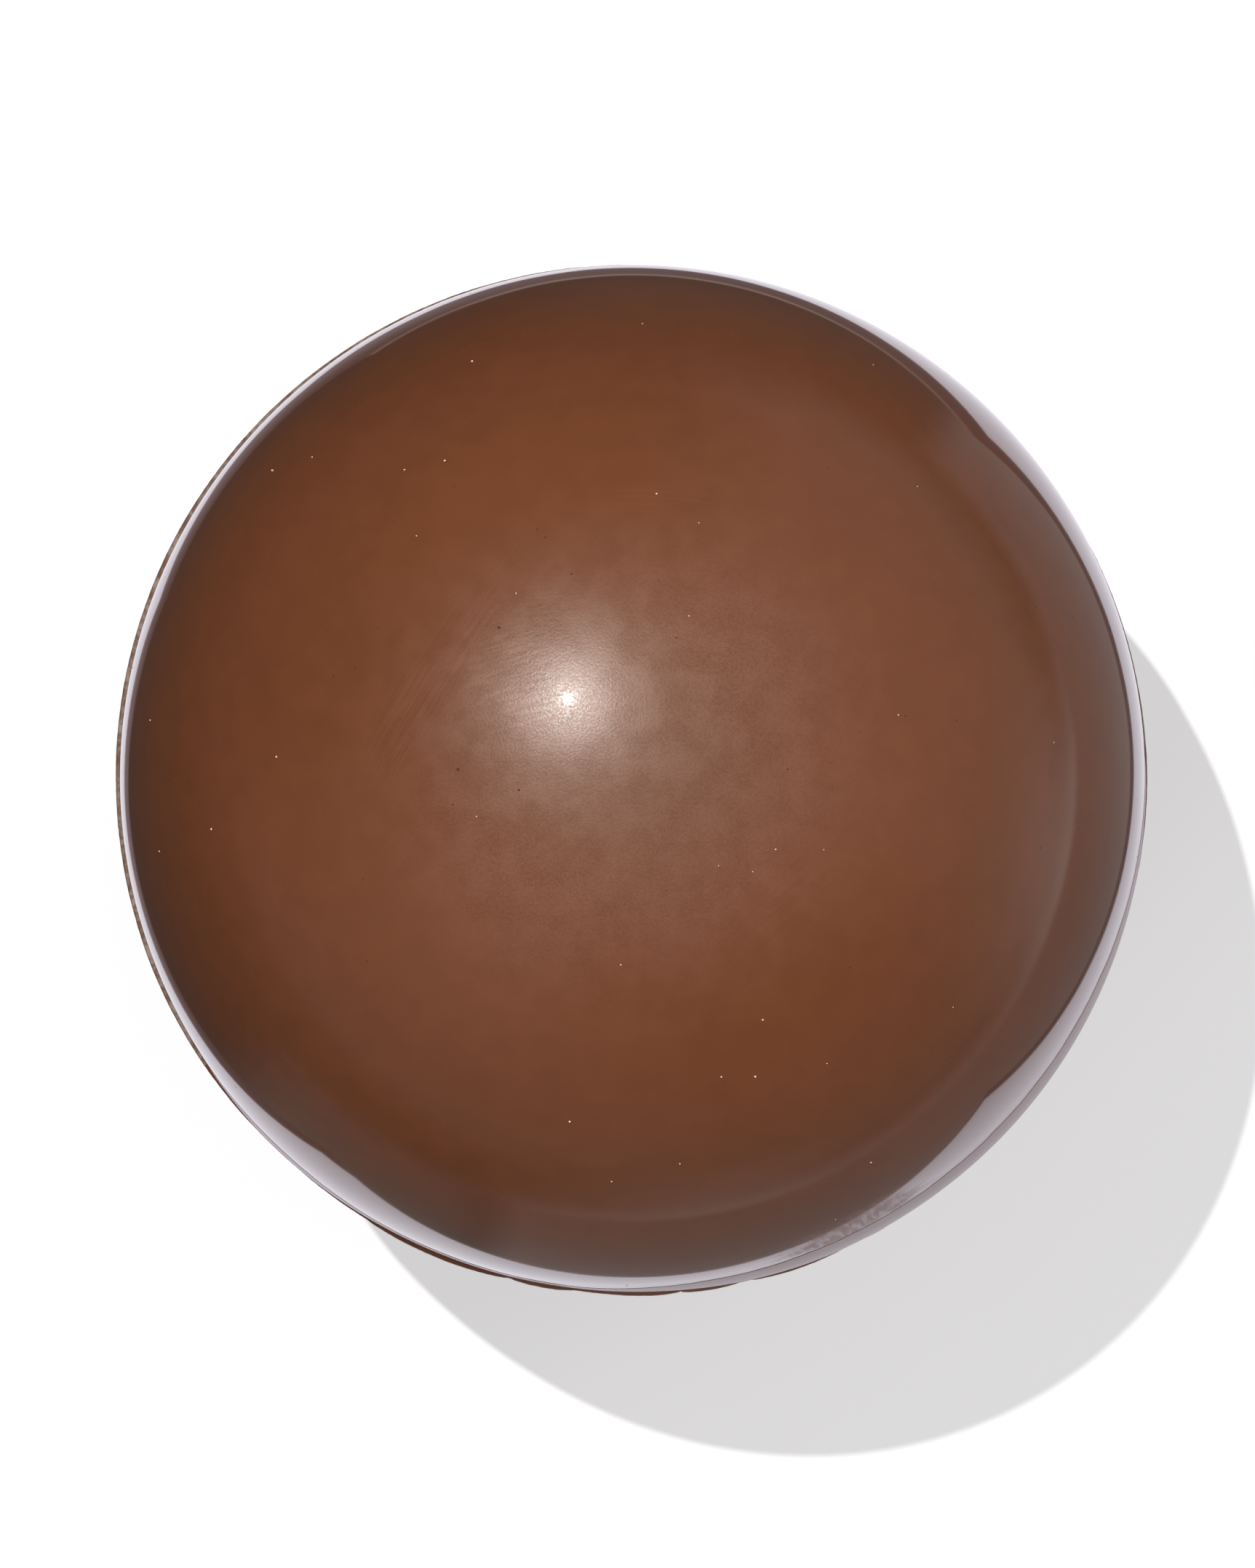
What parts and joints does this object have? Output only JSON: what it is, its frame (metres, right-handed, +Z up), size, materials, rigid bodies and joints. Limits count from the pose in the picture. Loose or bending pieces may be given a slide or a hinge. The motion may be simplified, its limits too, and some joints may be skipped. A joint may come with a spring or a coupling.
{
  "type": "hot chocolate sphere",
  "caption": "Round moulded milk chocolate sphere, two half shells shut on a melted join, standing on a small flat foot.",
  "frame": {"origin": "middle of the flat foot, on the surface that the sphere stands on", "axes": "+Z up through both halves, square to the join; +X is the picture's right and +Y its top"},
  "size_m": [0.0641, 0.0641, 0.0632],
  "materials": {
    "chocolate": "tempered milk chocolate cast in a polished mould: warm mid brown, glossy, with faint rub marks, pinholes and pale specks",
    "melted_chocolate": "re-set melted milk chocolate smoothed by hand: duller, mottled tan and brown, finely ribbed"
  },
  "bodies": {
    "root": {"lower_half": "chocolate", "melted_join": "melted_chocolate", "upper_half": "chocolate"}
  },
  "joints": []
}
